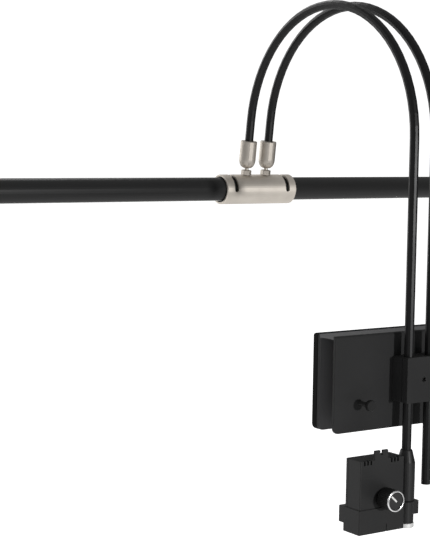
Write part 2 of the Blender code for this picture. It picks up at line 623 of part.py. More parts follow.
# ---------------------------------------------------------------- light bar
def make_light_bar(bar):
    """Housing, light engine, lens and end caps, all about the bar's own axis."""
    along_x = (0, math.radians(90), 0)
    half = BAR_HALF_LENGTH - END_CAP_THICKNESS - SEAT_GAP
    inner = BAR_RADIUS - BAR_WALL
    housing = turned("bar_housing",
                     [(inner, half), (BAR_RADIUS, half), (BAR_RADIUS, -half), (inner, -half)],
                     "black_tube_enamel", bar, (0, 0, 0), along_x, 40)
    cuts = [cutter_block("aperture", (-BAR_HALF_LENGTH - 5 * MM, -APERTURE_HALF_WIDTH, -20 * MM),
                         (BAR_HALF_LENGTH + 5 * MM, APERTURE_HALF_WIDTH, 0))]
    for side, x in (("left", -SLOT_X), ("right", SLOT_X)):
        cuts.append(cutter_rod(f"pin_hole_{side}", (x, 0, inner - 3 * MM),
                               (x, 0, BAR_RADIUS + 3 * MM), STOP_PIN_RADIUS + SEAT_GAP, 16))
    cuts.append(cutter_rod("wire_hole", (-ARM_X, 0, inner - 3 * MM),
                           (-ARM_X, 0, BAR_RADIUS + 3 * MM), 4.0 * MM, 16))
    for cutter in cuts:
        cutter.parent = bar
    cut(housing, cuts)

    carrier_top, carrier_foot = -0.5 * MM, -4.5 * MM
    carrier_half_width = 10.2 * MM
    place("led_carrier", block("led_carrier", (-half + 2 * MM, -carrier_half_width, carrier_foot),
                               (half - 2 * MM, carrier_half_width, carrier_top), 0, 0.8 * MM, 1),
          "bare_aluminium", bar)
    board_top, board_foot = carrier_foot - SEAT_GAP, carrier_foot - SEAT_GAP - 1.2 * MM
    place("led_board", block("led_board", (-half + 6 * MM, -5.0 * MM, board_foot),
                             (half - 6 * MM, 5.0 * MM, board_top)), "white_print", bar)
    lens_radius, lens_top = BAR_RADIUS - LENS_RECESS, -9.6 * MM
    lens = turned("lens_strip", [(0, half - 1 * MM), (lens_radius, half - 1 * MM),
                                 (lens_radius, 1 * MM - half), (0, 1 * MM - half)],
                  "lens_acrylic", bar, (0, 0, 0), along_x, 40)
    envelope = cutter_block("lens_envelope",
                            (-half, -APERTURE_HALF_WIDTH + SEAT_GAP, -20 * MM),
                            (half, APERTURE_HALF_WIDTH - SEAT_GAP, lens_top))
    envelope.parent = bar
    cut(lens, [envelope], "INTERSECT")

    for side, direction in (("left", -1), ("right", 1)):
        pin_foot = inner - 1.2 * MM
        lip = END_CAP_THICKNESS
        profile = [(0, lip), (BAR_RADIUS - 1.0 * MM, lip), (BAR_RADIUS, lip - 1.0 * MM),
                   (BAR_RADIUS, 0), (0, 0)]
        turned(f"{side}_end_cap", profile, "black_tube_enamel", bar,
               (direction * (BAR_HALF_LENGTH - lip), 0, 0),
               (0, math.radians(90) * direction, 0), 40)
        turned(f"{side}_stop_pin",
               [(0, HUB_RADIUS - 0.7 * MM), (STOP_PIN_RADIUS, HUB_RADIUS - 0.7 * MM),
                (STOP_PIN_RADIUS, pin_foot), (0, pin_foot)],
               "bright_steel", bar, (direction * SLOT_X, 0, 0), segments=16)


# ---------------------------------------------------------------- dimmer
def make_dimmer_shells(slide):
    offset = Vector(slide.location)
    parting_y = BOX_BACK_Y - BACK_COVER_DEPTH
    wall = BOX_WALL
    corner = 2.0 * MM
    low = Vector((BOX_LEFT_X, BOX_FRONT_Y, BOX_FOOT_Z))
    high = Vector((BOX_RIGHT_X, BOX_BACK_Y, BOX_TOP_Z))

    def shell(name, y_from, y_to):
        bm = block_bmesh((low.x, y_from, low.z), (high.x, y_to, high.z))
        outer_y = y_from if name.endswith("front_shell") else y_to

        def outside_edge(a, b):
            return along(2)(a, b) and abs(a.y - outer_y) < 1e-6

        round_edges(bm, outside_edge, corner if outer_y == high.y else 0.8 * MM, 3)
        bmesh.ops.translate(bm, verts=bm.verts, vec=-offset)
        return place(name, mesh_of(bm, name), "black_moulded_plastic", slide)

    front = shell("dimmer_front_shell", low.y, parting_y - SEAT_GAP / 2)
    back = shell("dimmer_back_shell", parting_y + SEAT_GAP / 2, high.y)
    front_room = cutter_block("front_room", (low.x + wall, low.y + wall, low.z + wall),
                              (high.x - wall, parting_y + 5 * MM, high.z - wall))
    back_room = cutter_block("back_room", (low.x + wall, parting_y - 2 * MM, low.z + wall),
                             (high.x - wall, high.y - wall, high.z - wall))
    tab = cutter_block("tab_stock", (TAB_X - TAB_WIDTH / 2, low.y, high.z - 4 * MM),
                       (TAB_X + TAB_WIDTH / 2, low.y + 2.4 * MM, TAB_TOP_Z))
    notch = cutter_block("tab_notch", (TAB_X - 1.7 * MM, low.y - 2 * MM, TAB_TOP_Z - 4.7 * MM),
                         (TAB_X + 1.7 * MM, low.y + 5 * MM, TAB_TOP_Z + 2 * MM))
    shaft_hole = cutter_rod("pot_hole", (KNOB_X, low.y - 2 * MM, KNOB_Z),
                            (KNOB_X, low.y + 4 * MM, KNOB_Z), 4.6 * MM, 24)
    cut(front, [front_room])
    cut(front, [tab], "UNION")
    vents = []
    pitch, width, depth = 4.0 * MM, 1.8 * MM, 4.2 * MM
    for side, direction in (("left", -1), ("right", 1)):
        for i in range(3):
            x = TAB_X + direction * (TAB_WIDTH / 2 + 4.8 * MM + i * pitch)
            vents.append(cutter_block(f"vent_{side}_{i}", (x - width / 2, low.y - MM, high.z - depth),
                                      (x + width / 2, low.y + 3.4 * MM, high.z + MM)))
    cut(front, [notch, shaft_hole] + vents)
    cut(back, [back_room])


def make_holder(slide):
    """A cup round the box's foot, with a rear flange and the round housing of the power jack."""
    offset = Vector(slide.location)
    out = HOLDER_PROUD
    cup_low = (BOX_LEFT_X - out, BOX_FRONT_Y - out, HOLDER_FOOT_Z)
    cup_high = (BOX_RIGHT_X + out, BOX_BACK_Y + out, HOLDER_TOP_Z)
    bm = block_bmesh(cup_low, cup_high)
    round_edges(bm, along(2), 1.0 * MM, 2)
    bmesh.ops.translate(bm, verts=bm.verts, vec=-offset)
    holder = place("dimmer_holder", mesh_of(bm, "dimmer_holder"), "black_moulded_plastic", slide)
    flange = cutter_block("holder_flange", (cup_low[0], cup_high[1] - 2 * MM, FLANGE_FOOT_Z),
                          (-ARM_X, FLANGE_BACK_Y, HOLDER_TOP_Z))
    housing = cutter_rod("jack_housing", (-ARM_X, ARM_Y, BARREL_FOOT_Z),
                         (-ARM_X, ARM_Y, HOLDER_TOP_Z), JACK_HOUSING_RADIUS, 32)
    web = cutter_block("holder_web", (BOX_RIGHT_X, ARM_Y - 4 * MM, HOLDER_FOOT_Z + 4 * MM),
                       (-ARM_X - 5 * MM, ARM_Y + 7 * MM, HOLDER_TOP_Z - 1.5 * MM))
    bridge = cutter_block("holder_bridge", (-ARM_X - 6 * MM, ARM_Y + 4 * MM, FLANGE_FOOT_Z),
                          (-ARM_X, FLANGE_BACK_Y - 1 * MM, HOLDER_TOP_Z - 1.5 * MM))
    ear = cutter_block("holder_ear", (-ARM_X + 4 * MM, ARM_Y - 3 * MM, EAR_FOOT_Z),
                       (EAR_RIGHT_X, ARM_Y + 3 * MM, HOLDER_TOP_Z - 0.6 * MM), 1, 0.8 * MM)
    cut(holder, [flange, housing, web, bridge, ear], "UNION")
    room = cutter_block("holder_room",
                        (BOX_LEFT_X - SEAT_GAP, BOX_FRONT_Y - SEAT_GAP, BOX_FOOT_Z - SEAT_GAP),
                        (BOX_RIGHT_X + SEAT_GAP, BOX_BACK_Y + SEAT_GAP, HOLDER_TOP_Z + 5 * MM))
    jack_bore = cutter_rod("jack_bore", (-ARM_X, ARM_Y, BARREL_FOOT_Z - 5 * MM),
                           (-ARM_X, ARM_Y, HOLDER_TOP_Z + 5 * MM), JACK_BORE_RADIUS, 32)
    notch = cutter_block("holder_notch",
                         (HOLDER_NOTCH_X - 1.1 * MM, cup_low[1] - 2 * MM, HOLDER_FOOT_Z - MM),
                         (HOLDER_NOTCH_X + 1.1 * MM, cup_low[1] + 0.5 * MM,
                          HOLDER_FOOT_Z + 7.5 * MM))
    cut(holder, [room, jack_bore, notch])


def make_jack(slide):
    """Tapered gland and barrel on the left arm's foot, and the power jack below them."""
    offset = Vector(slide.location)
    centre = Vector((-ARM_X, ARM_Y, 0)) - offset
    top, foot, r = GLAND_TOP_Z, HOLDER_TOP_Z + SEAT_GAP, BARREL_RADIUS
    bore = TUBE_RADIUS + SEAT_GAP
    spigot, spigot_foot, room = JACK_BORE_RADIUS - SEAT_GAP, foot - 9.0 * MM, 4.9 * MM
    step = LEFT_ARM_FOOT_Z - 1.0 * MM
    turned("connector_barrel",
           [(bore, top), (5.6 * MM, top), (6.1 * MM, top - 0.8 * MM), (8.75 * MM, top - 11.5 * MM),
            (r, top - 12.5 * MM), (r, foot), (spigot, foot), (spigot, spigot_foot),
            (room, spigot_foot), (room, step), (bore, step)],
           "black_moulded_plastic", slide, centre, segments=32)
    ring_inner = 5.0 * MM
    ring_top = BARREL_FOOT_Z - SEAT_GAP
    turned("jack_ring",
           [(ring_inner, ring_top), (JACK_RING_RADIUS, ring_top),
            (JACK_RING_RADIUS, JACK_RING_FOOT_Z), (ring_inner, JACK_RING_FOOT_Z)],
           "bright_steel", slide, centre, segments=32)
    body_top, lower = BARREL_FOOT_Z + 11.5 * MM, BARREL_FOOT_Z + 0.3 * MM
    core, outer, sleeve = 2.75 * MM, JACK_BORE_RADIUS - SEAT_GAP, ring_inner - SEAT_GAP
    well_top, mouth = BARREL_FOOT_Z + 9.0 * MM, JACK_RING_FOOT_Z + 0.4 * MM
    turned("jack_socket",
           [(0, body_top), (outer, body_top), (outer, lower), (sleeve, lower), (sleeve, mouth),
            (core, mouth), (core, well_top), (0, well_top)],
           "black_moulded_plastic", slide, centre, segments=24)
    pin_top, pin_foot, pin = well_top - SEAT_GAP, BARREL_FOOT_Z, 1.0 * MM
    turned("jack_pin",
           [(0, pin_top), (pin, pin_top), (pin, pin_foot + 0.5 * MM), (0, pin_foot)],
           "bright_steel", slide, centre, segments=12)


def make_dimmer_inside(slide):
    offset = Vector(slide.location)
    board_y = BOX_BACK_Y - BOX_WALL - 5.0 * MM
    side_room = BOX_WALL + 1.5 * MM
    bm = block_bmesh((BOX_LEFT_X + side_room, board_y, BOX_FOOT_Z + side_room),
                     (BOX_RIGHT_X - side_room, board_y + 1.6 * MM, BOX_TOP_Z - side_room))
    bmesh.ops.translate(bm, verts=bm.verts, vec=-offset)
    place("dimmer_board", mesh_of(bm, "dimmer_board"), "circuit_board", slide)
    pot_back = board_y - SEAT_GAP
    pot_front = BOX_FRONT_Y + BOX_WALL + SEAT_GAP
    bush_front = BOX_FRONT_Y - 3.0 * MM
    body, bush, bore = 8.0 * MM, 4.2 * MM, SHAFT_RADIUS + 0.1 * MM
    depth = pot_back - pot_front
    floor = 3.0 * MM - depth
    turned("potentiometer",
           [(0, floor), (bore, floor), (bore, pot_front - bush_front),
            (bush, pot_front - bush_front), (bush, 0), (body, 0), (body, -depth), (0, -depth)],
           "bare_aluminium", slide, Vector((KNOB_X, pot_front, KNOB_Z)) - offset,
           (math.radians(90), 0, 0), 24)
    return pot_back - 3.0 * MM


def make_knob(turn, shaft_end_y):
    """Fluted knob on the potentiometer's shaft; the joint's axis is the knob's own."""
    foot = BOX_FRONT_Y - HOLDER_PROUD - SEAT_GAP
    face = BOX_FRONT_Y - KNOB_LENGTH
    length = foot - face
    r = KNOB_RADIUS
    ring_inner, ring_depth = 8.3 * MM, 1.0 * MM
    skirt_bore, shaft_bore = 5.2 * MM, SHAFT_RADIUS + SEAT_GAP
    bore_floor = length - 4.0 * MM
    knob = turned("dimmer_knob",
                  [(0, length - ring_depth), (r - 0.7 * MM, length - ring_depth),
                   (r - 0.3 * MM, length - 2.2 * MM), (r, 0.6 * MM), (r - 0.4 * MM, 0),
                   (skirt_bore, 0), (skirt_bore, 4.2 * MM), (shaft_bore, 4.2 * MM),
                   (shaft_bore, bore_floor), (0, bore_floor)],
                  "black_moulded_plastic", turn, (0, foot, 0), (math.radians(90), 0, 0), 48)
    pointer_slot = cutter_block("pointer_slot", (-1.2 * MM, face - 2 * MM, -1.5 * MM),
                                (1.2 * MM, face + ring_depth + 0.8 * MM, 8.0 * MM))
    pointer_slot.parent = turn
    pointer_slot.rotation_euler = (0, POINTER_ANGLE, 0)
    cut(knob, [pointer_slot])
    turned("knob_ring",
           [(ring_inner, ring_depth), (r - 0.5 * MM, ring_depth), (r, 0.6 * MM), (r, SEAT_GAP),
            (ring_inner, SEAT_GAP)],
           "bright_steel", turn, (0, face + ring_depth, 0), (math.radians(90), 0, 0), 48)
    place("knob_pointer",
          block("knob_pointer", (-0.85 * MM, face + 0.4 * MM, -1.2 * MM),
                (0.85 * MM, face + ring_depth + 0.5 * MM, 7.7 * MM)),
          "white_print", turn, rotation=(0, POINTER_ANGLE, 0))
    reach = shaft_end_y - (foot - bore_floor)
    turned("knob_shaft",
           [(0, reach - SEAT_GAP), (SHAFT_RADIUS, reach - SEAT_GAP), (SHAFT_RADIUS, SEAT_GAP),
            (0, SEAT_GAP)],
           "bright_steel", turn, (0, shaft_end_y, 0), (math.radians(90), 0, 0), 20)


# ---------------------------------------------------------------- assembly
def build():
    make_bracket()
    make_face_plate()
    make_clamp()
    for side, x in (("left", -THUMB_X), ("right", THUMB_X)):
        make_thumbscrew(side, x)
    slide = pivot("arm_slide", (0, ARM_Y, CLAMP_MIDDLE_Z))
    make_arm("left", -ARM_X, LEFT_ARM_FOOT_Z, slide)
    make_arm("right", ARM_X, RIGHT_ARM_FOOT_Z, slide)
    make_arm_plug(slide)
    make_supply_lead(slide)
    for side, x in (("left", -ARM_X), ("right", ARM_X)):
        make_fittings(side, x, slide)
    make_hub(slide)
    bar = pivot("bar_turn", Vector((0, BAR_Y, BAR_Z)) - Vector(slide.location), slide)
    make_light_bar(bar)
    make_dimmer_shells(slide)
    make_holder(slide)
    make_jack(slide)
    shaft_end = make_dimmer_inside(slide)
    turn = pivot("knob_turn", Vector((KNOB_X, 0, KNOB_Z)) - Vector(slide.location), slide)
    make_knob(turn, shaft_end)


build()
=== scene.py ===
"""Look of the picture light: finishes, fine details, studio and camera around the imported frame."""

import json
import math

import bmesh
import bpy
from mathutils import Matrix, Vector

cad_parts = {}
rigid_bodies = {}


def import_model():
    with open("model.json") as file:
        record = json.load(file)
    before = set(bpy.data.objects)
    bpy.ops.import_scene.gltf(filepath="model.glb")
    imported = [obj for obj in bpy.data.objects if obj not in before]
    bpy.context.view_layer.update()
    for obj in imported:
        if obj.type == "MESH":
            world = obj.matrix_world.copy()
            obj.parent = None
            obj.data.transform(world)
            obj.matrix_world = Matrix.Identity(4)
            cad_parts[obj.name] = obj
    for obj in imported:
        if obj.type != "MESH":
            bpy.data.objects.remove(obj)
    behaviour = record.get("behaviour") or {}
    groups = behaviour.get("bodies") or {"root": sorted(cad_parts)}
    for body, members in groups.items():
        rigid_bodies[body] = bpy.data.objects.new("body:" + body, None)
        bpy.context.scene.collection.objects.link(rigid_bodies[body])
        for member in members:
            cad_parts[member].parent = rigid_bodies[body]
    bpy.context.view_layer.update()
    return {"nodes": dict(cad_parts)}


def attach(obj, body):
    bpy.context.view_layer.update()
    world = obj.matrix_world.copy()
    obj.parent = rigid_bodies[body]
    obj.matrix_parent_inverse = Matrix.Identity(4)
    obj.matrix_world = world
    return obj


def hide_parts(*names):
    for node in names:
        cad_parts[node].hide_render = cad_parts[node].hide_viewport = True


for leftover in list(bpy.data.objects):
    bpy.data.objects.remove(leftover, do_unlink=True)

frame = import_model()
NODES = frame["nodes"]
MM = 0.001
NOISE_LOW, NOISE_HIGH = 0.3, 0.7  # most of a noise's values lie between these


# ---------------------------------------------------------------- finishes
def new_finish(name, colour, roughness, metallic=0.0, specular=0.5):
    material = bpy.data.materials.new(name)
    material.use_nodes = True
    shader = material.node_tree.nodes["Principled BSDF"]
    shader.inputs["Base Color"].default_value = (*colour, 1.0)
    shader.inputs["Roughness"].default_value = roughness
    shader.inputs["Metallic"].default_value = metallic
    shader.inputs["Specular IOR Level"].default_value = specular
    return material, material.node_tree, shader


def object_coords(tree, scale=(1.0, 1.0, 1.0)):
    coords = tree.nodes.new("ShaderNodeTexCoord")
    mapping = tree.nodes.new("ShaderNodeMapping")
    mapping.inputs["Scale"].default_value = scale
    tree.links.new(coords.outputs["Object"], mapping.inputs["Vector"])
    return mapping.outputs["Vector"]


def noise(tree, vector, scale, detail=2.0, rough=0.5):
    node = tree.nodes.new("ShaderNodeTexNoise")
    node.inputs["Scale"].default_value = scale
    node.inputs["Detail"].default_value = detail
    node.inputs["Roughness"].default_value = rough
    tree.links.new(vector, node.inputs["Vector"])
    return node.outputs["Fac"]


def ramp(tree, factor, low, high, dark, light):
    """Maps a 0-1 factor between two greys or colours."""
    node = tree.nodes.new("ShaderNodeValToRGB")
    first, last = node.color_ramp.elements
    first.position, last.position = low, high
    first.color, last.color = (*dark, 1.0), (*light, 1.0)
    tree.links.new(factor, node.inputs["Fac"])
    return node.outputs["Color"]


def span(tree, factor, low, high, out_low, out_high):
    """Maps a factor's range to another range."""
    node = tree.nodes.new("ShaderNodeMapRange")
    node.inputs["From Min"].default_value = low
    node.inputs["From Max"].default_value = high
    node.inputs["To Min"].default_value = out_low
    node.inputs["To Max"].default_value = out_high
    tree.links.new(factor, node.inputs["Value"])
    return node.outputs["Result"]


def vary_roughness(tree, shader, factor, low, high):
    """Roughness between low and high, after a noise."""
    tree.links.new(span(tree, factor, NOISE_LOW, NOISE_HIGH, low, high), shader.inputs["Roughness"])


def bump(tree, shader, height, strength, distance):
    node = tree.nodes.new("ShaderNodeBump")
    node.inputs["Strength"].default_value = strength
    node.inputs["Distance"].default_value = distance
    tree.links.new(height, node.inputs["Height"])
    tree.links.new(node.outputs["Normal"], shader.inputs["Normal"])


def painted_light_inside(tree, tone, reach):
    """Painted light: a lighter grey base colour on the channel's inner faces, within reach of its
    middle, standing in for the light that reaches inside the channel.
    """
    # painted light: this grey stands in for light falling on the inner faces
    painted_light_grey = (0.13, 0.13, 0.133, 1.0)
    coords = tree.nodes.new("ShaderNodeTexCoord")
    split = tree.nodes.new("ShaderNodeSeparateXYZ")
    tree.links.new(coords.outputs["Object"], split.inputs["Vector"])
    off_middle = tree.nodes.new("ShaderNodeMath")
    off_middle.operation = "ABSOLUTE"
    tree.links.new(split.outputs["Y"], off_middle.inputs[0])
    inside = span(tree, off_middle.outputs["Value"], reach, reach + 0.2 * MM, 1.0, 0.0)
    mixed = tree.nodes.new("ShaderNodeMix")
    mixed.data_type = "RGBA"
    mixed.inputs["B"].default_value = painted_light_grey
    tree.links.new(inside, mixed.inputs["Factor"])
    tree.links.new(tone, mixed.inputs["A"])
    return mixed.outputs["Result"]


def powder_coat(name, painted_light_reach=0.0):
    """Satin black powder coat with a fine orange peel; given a reach, it paints light grey onto the
    channel's inner faces.
    """
    dark, light = (0.024, 0.024, 0.0243), (0.028, 0.028, 0.0285)
    material, tree, shader = new_finish(name, dark, 0.5, specular=0.14)
    vector = object_coords(tree)
    peel = noise(tree, vector, 1400.0)
    cloud = noise(tree, vector, 18.0, 3.0)
    tone = ramp(tree, cloud, 0.35, 0.7, dark, light)
    if painted_light_reach:
        # painted light on the channel's inner faces
        tone = painted_light_inside(tree, tone, painted_light_reach)
    tree.links.new(tone, shader.inputs["Base Color"])
    vary_roughness(tree, shader, cloud, 0.46, 0.54)
    bump(tree, shader, peel, 0.25, 0.2 * MM)
    return material


def tube_enamel():
    """Smooth satin black enamel on the drawn tubes."""
    material, tree, shader = new_finish("tube_enamel", (0.009, 0.009, 0.0095), 0.36,
                                        specular=0.22)
    vector = object_coords(tree)
    ripple = noise(tree, vector, 500.0)
    cloud = noise(tree, vector, 25.0)
    vary_roughness(tree, shader, cloud, 0.33, 0.4)
    bump(tree, shader, ripple, 0.06, 0.2 * MM)
    return material


def bar_enamel():
    """Anodised black of the light bar, with a faint drawn grain along its length."""
    material, tree, shader = new_finish("bar_enamel", (0.021, 0.021, 0.0212), 0.38,
                                        specular=0.2)
    vector = object_coords(tree, (1.0, 60.0, 60.0))
    grain = noise(tree, vector, 30.0, 3.0, 0.6)
    vary_roughness(tree, shader, grain, 0.34, 0.42)
    bump(tree, shader, grain, 0.05, 0.1 * MM)
    return material


def moulded_plastic():
    """Black ABS with a fine spark texture."""
    material, tree, shader = new_finish("moulded_plastic", (0.01, 0.01, 0.0103), 0.48,
                                        specular=0.38)
    vector = object_coords(tree)
    grain = noise(tree, vector, 2600.0)
    cloud = noise(tree, vector, 30.0)
    vary_roughness(tree, shader, cloud, 0.42, 0.52)
    bump(tree, shader, grain, 0.2, 0.12 * MM)
    return material


def satin_nickel(name, dark, light, smoothest):
    """Warm satin nickel with a turned grain round the piece."""
    material, tree, shader = new_finish(name, dark, smoothest, metallic=1.0)
    vector = object_coords(tree, (40.0, 1.0, 40.0))
    grain = noise(tree, vector, 60.0, 3.0, 0.6)
    cloud = noise(tree, object_coords(tree), 60.0)
    tone = ramp(tree, cloud, NOISE_LOW, NOISE_HIGH, dark, light)
    tree.links.new(tone, shader.inputs["Base Color"])
    vary_roughness(tree, shader, grain, smoothest, smoothest + 0.08)
    bump(tree, shader, grain, 0.06, 0.1 * MM)
    shader.inputs["Anisotropic"].default_value = 0.3
    return material


def bright_steel():
    material, tree, shader = new_finish("bright_steel", (0.8, 0.8, 0.79), 0.2, metallic=1.0)
    grain = noise(tree, object_coords(tree), 900.0)
    vary_roughness(tree, shader, grain, 0.16, 0.26)
    return material


def black_oxide():
    material, tree, shader = new_finish("black_oxide", (0.018, 0.018, 0.0182), 0.45,
                                        specular=0.2)
    grain = noise(tree, object_coords(tree), 1200.0)
    vary_roughness(tree, shader, grain, 0.34, 0.46)
    return material


def plain_finish(name, colour, roughness, metallic=0.0, scale=800.0, specular=0.5):
    """A finish for small pieces, with a little fine variation in its roughness."""
    material, tree, shader = new_finish(name, colour, roughness, metallic, specular)
    grain = noise(tree, object_coords(tree), scale)
    vary_roughness(tree, shader, grain, roughness - 0.05, roughness + 0.05)
    return material


def lens_acrylic():
    material = plain_finish("lens_acrylic", (0.86, 0.86, 0.84), 0.4)
    shader = material.node_tree.nodes["Principled BSDF"]
    shader.inputs["Transmission Weight"].default_value = 0.35
    return material


POWDER = powder_coat("powder_coat")
# the channel's inner faces carry painted light: a lighter grey base colour
CHANNEL = powder_coat("channel_coat", painted_light_reach=10.35 * MM)
MATT = plain_finish("matt_coat", (0.009, 0.009, 0.009), 0.75, specular=0.06)
TUBE = tube_enamel()
BAR = bar_enamel()
PLASTIC = moulded_plastic()
NICKEL = satin_nickel("satin_nickel", (0.5, 0.46, 0.41), (0.55, 0.51, 0.46), 0.44)
HUB = satin_nickel("hub_nickel", (0.68, 0.63, 0.565), (0.74, 0.69, 0.625), 0.52)
STEEL = bright_steel()
OXIDE = black_oxide()
LENS = lens_acrylic()
WHITE = plain_finish("white_print", (0.85, 0.85, 0.83), 0.45)
PALE = plain_finish("pale_nickel", (0.8, 0.8, 0.79), 0.55, 0.5)
BARE = plain_finish("bare_aluminium", (0.76, 0.76, 0.77), 0.38, 1.0)
BOARD = plain_finish("circuit_board", (0.03, 0.14, 0.06), 0.4)
JACKET = plain_finish("lead_jacket", (0.018, 0.018, 0.018), 0.6)
RUBBER = plain_finish("pad_rubber", (0.025, 0.025, 0.025), 0.75)
GRIP = plain_finish("knob_grip", (0.012, 0.012, 0.0122), 0.5)
CHROME = plain_finish("knob_chrome", (0.93, 0.93, 0.93), 0.24, 1.0)

NODE_FINISH = {
    "mounting_bracket": CHANNEL, "face_plate": MATT, "clamp_base": POWDER, "clamp_cap": POWDER,
    "clamp_screw": OXIDE, "base_screw_upper": OXIDE, "base_screw_lower": OXIDE,
    "pressure_pad_left": RUBBER, "pressure_pad_right": RUBBER,
    "thumbscrew_left": OXIDE, "thumbscrew_right": OXIDE,
    "left_arm": TUBE, "right_arm": TUBE, "right_arm_plug": PLASTIC, "supply_lead": JACKET,
    "left_ferrule": NICKEL, "right_ferrule": NICKEL, "left_hex_nut": NICKEL,
    "right_hex_nut": NICKEL, "left_neck": NICKEL, "right_neck": NICKEL, "hub_sleeve": HUB,
    "left_hub_bush": PLASTIC, "right_hub_bush": PLASTIC,
    "bar_housing": BAR, "led_carrier": BARE, "led_board": WHITE, "lens_strip": LENS,
    "left_end_cap": BAR, "right_end_cap": BAR, "left_stop_pin": OXIDE, "right_stop_pin": OXIDE,
    "dimmer_front_shell": PLASTIC, "dimmer_back_shell": PLASTIC, "dimmer_holder": PLASTIC,
    "connector_barrel": PLASTIC, "jack_ring": PALE, "jack_socket": PLASTIC, "jack_pin": STEEL,
    "dimmer_board": BOARD, "potentiometer": BARE, "dimmer_knob": PLASTIC, "knob_ring": STEEL,
    "knob_pointer": WHITE, "knob_shaft": STEEL,
}
for node_name, finish in NODE_FINISH.items():
    NODES[node_name].data.materials.clear()
    NODES[node_name].data.materials.append(finish)


# ---------------------------------------------------------------- detail pieces
COLLAR_HEIGHT = 4.6 * MM
SOCKET_RADIUS = 5.0 * MM  # the jack's socket, inside the collar
FLUTES, FLUTE_DEPTH = 36, 0.8 * MM
KNURLS, KNURL_DEPTH = 36, 0.35 * MM
THUMB_HEAD, THUMB_NECK_RADIUS = 4.2 * MM, 3.6 * MM
THREAD_RADIUS, THREAD_PITCH = 2.4 * MM, 0.8 * MM
RECESS_LOBES, RECESS_DEPTH = 6, 1.7 * MM


def node_box(name):
    """Low and high corner of a CAD node, in the frame's own axes."""
    node = NODES[name]
    bpy.context.view_layer.update()
    points = [node.matrix_world @ vertex.co for vertex in node.data.vertices]
    return (Vector([min(point[i] for point in points) for i in range(3)]),
            Vector([max(point[i] for point in points) for i in range(3)]))


def rear_middle(low, high):
    """Middle of a box's rear face, where a turned piece that points forwards starts."""
    return ((low.x + high.x) / 2, high.y, (low.z + high.z) / 2)


def turning(name, place, profile, finish, closed=False, segments=64, lobes=0, depth=0.0, lobed=()):
    """Turned piece with its axis along Y.

    profile runs over (radius, distance towards the front) from place; the rings whose numbers
    are in lobed are cut in by depth between their lobes.
    """
    bm = bmesh.new()
    rings = []
    for index, (radius, out) in enumerate(profile):
        if radius == 0:
            rings.append([bm.verts.new((0, -out, 0))])
            continue
        ring = []
        for step in range(segments):
            angle = 2 * math.pi * step / segments
            reach = radius
            if index in lobed:
                reach -= depth * (0.5 + 0.5 * math.cos(lobes * angle))
            ring.append(bm.verts.new((reach * math.cos(angle), -out, reach * math.sin(angle))))
        rings.append(ring)
    following = rings[1:] + rings[:1] if closed else rings[1:]
    for here, there in zip(rings, following):
        for step in range(segments):
            corners = []
            for ring, at in ((here, step), (here, step + 1), (there, step + 1), (there, step)):
                vertex = ring[at % len(ring)]
                if vertex not in corners:
                    corners.append(vertex)
            bm.faces.new(corners)
    bmesh.ops.recalc_face_normals(bm, faces=bm.faces)
    mesh = bpy.data.meshes.new(name)
    bm.to_mesh(mesh)
    bm.free()
    mesh.shade_smooth()
    mesh.set_sharp_from_angle(angle=math.radians(35))
    mesh.materials.append(finish)
    piece = bpy.data.objects.new(name, mesh)
    piece.location = place
    bpy.context.scene.collection.objects.link(piece)
    return piece


def stand_in(piece, body, slot, *nodes):
    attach(piece, body)
    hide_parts(*nodes)


def barrel_seam():
    """Thin dark gasket between the connector's barrel and the holder."""
    low, high = node_box("connector_barrel")
    seam_z = node_box("dimmer_holder")[1].z
    r = (high.x - low.x) / 2
    gasket = turning("barrel_gasket", ((low.x + high.x) / 2, (low.y + high.y) / 2, seam_z),
                     [(r - 0.6 * MM, -1.5 * MM), (r + 0.1 * MM, -1.5 * MM),
                      (r + 0.2 * MM, -0.7 * MM), (r + 0.1 * MM, 0.1 * MM),
                      (r - 0.6 * MM, 0.1 * MM)],
                     MATT, closed=True)
    gasket.rotation_euler = (math.radians(90), 0, 0)
    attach(gasket, "arms")


def jack_collar():
    """Pale ring round the inlet's mouth."""
    low, high = node_box("jack_ring")
    barrel_low, barrel_high = node_box("connector_barrel")
    r = (barrel_high.x - barrel_low.x) / 2 + 0.1 * MM
    middle = ((low.x + high.x) / 2, (low.y + high.y) / 2, low.z)
    collar = turning("jack_collar", middle,
                     [(SOCKET_RADIUS, 0), (r - 0.5 * MM, 0), (r, -0.5 * MM),
                      (r, 0.3 * MM - COLLAR_HEIGHT), (r - 0.4 * MM, -COLLAR_HEIGHT),
                      (r - 0.4 * MM, -2.6 * MM), (SOCKET_RADIUS, -2.6 * MM)],
                     PALE, closed=True, segments=72)
    collar.rotation_euler = (math.radians(90), 0, 0)
    stand_in(collar, "arms", "bright_steel", "jack_ring")


def make_knob():
    """Fluted grip round a sunk disc, and the bright bezel on its rim."""
    low, high = node_box("dimmer_knob")
    front = node_box("knob_ring")[0].y
    middle = rear_middle(low, high)
    length, r = high.y - front, (high.x - low.x) / 2
    disc, groove = length - 0.75 * MM, length - 1.9 * MM
    grip = turning("knob_grip", middle,
                   [(0, 0), (r - 0.6 * MM, 0), (r - 0.1 * MM, 0.5 * MM),
                    (r - 0.1 * MM, length - 3.2 * MM), (r - 0.7 * MM, length - 2.5 * MM),
                    (r - 0.7 * MM, groove), (8.3 * MM, groove), (8.3 * MM, disc - 0.2 * MM),
                    (8.05 * MM, disc), (0, disc)],
                   GRIP, segments=216, lobes=FLUTES, depth=FLUTE_DEPTH, lobed=(2, 3))
    stand_in(grip, "knob", "moulded_plastic", "dimmer_knob")
    inner, back = 8.7 * MM, length - 1.8 * MM
    bezel = turning("knob_bezel", middle,
                    [(inner, back), (r - 0.1 * MM, back), (r, back + 0.3 * MM),
                     (r, length - 0.7 * MM), (r - 0.25 * MM, length - 0.2 * MM),
                     (r - 0.7 * MM, length), (inner + 0.5 * MM, length),
                     (inner + 0.12 * MM, length - 0.15 * MM), (inner, length - 0.5 * MM)],
                    CHROME, closed=True, segments=96)
    stand_in(bezel, "knob", "bright_steel", "knob_ring")


